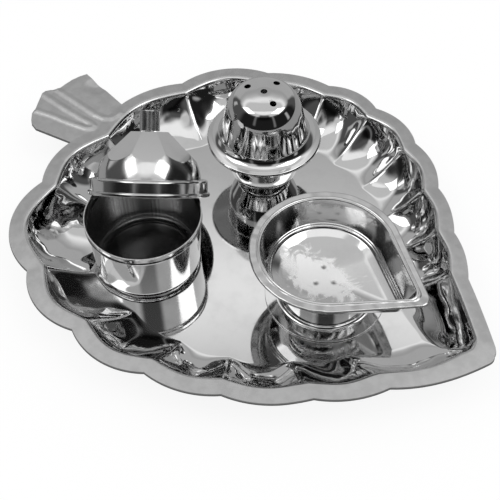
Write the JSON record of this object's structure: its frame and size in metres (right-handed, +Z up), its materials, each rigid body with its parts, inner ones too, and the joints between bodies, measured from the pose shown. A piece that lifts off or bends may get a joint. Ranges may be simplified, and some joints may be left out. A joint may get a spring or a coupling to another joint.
{
  "type": "kumkum plate",
  "caption": "Scalloped leaf-shaped steel tray with a ribbed stem, holding a kumkum cup with a faceted knobbed lid, a pierced incense stick holder and a drop-shaped oil lamp.",
  "frame": {"origin": "on the tray's underside, at the centre of the leaf's round end", "axes": "+X along the leaf to its tip, with the stem at -X; +Z up, out of the tray"},
  "size_m": [0.2608, 0.197, 0.0566],
  "materials": {
    "mirror_steel": "mirror-polished stainless steel sheet",
    "brushed_steel": "finely brushed stainless steel"
  },
  "bodies": {
    "plate": {"tray": "mirror_steel"},
    "cup": {"cup_body": "brushed_steel"},
    "lid": {"lid_shell": "mirror_steel", "lid_knob": "mirror_steel", "lid_knob_screw": "brushed_steel"},
    "holder": {"holder_bowl": "mirror_steel"},
    "cover": {"holder_cover": "mirror_steel"},
    "lamp": {"lamp_foot": "mirror_steel", "lamp_bowl": "mirror_steel"}
  },
  "joints": [
    {"name": "cup_lift", "type": "slide", "parent": "plate", "child": "cup", "axis": [0, 0, 1], "range_m": [0, 0.06]},
    {"name": "lid_lift", "type": "slide", "parent": "cup", "child": "lid", "axis": [0, 0, 1], "range_m": [0, 0.06]},
    {"name": "holder_lift", "type": "slide", "parent": "plate", "child": "holder", "axis": [0, 0, 1], "range_m": [0, 0.06]},
    {"name": "cover_lift", "type": "slide", "parent": "holder", "child": "cover", "axis": [0, 0, 1], "range_m": [0, 0.04]},
    {"name": "lamp_lift", "type": "slide", "parent": "plate", "child": "lamp", "axis": [0, 0, 1], "range_m": [0, 0.06]}
  ]
}
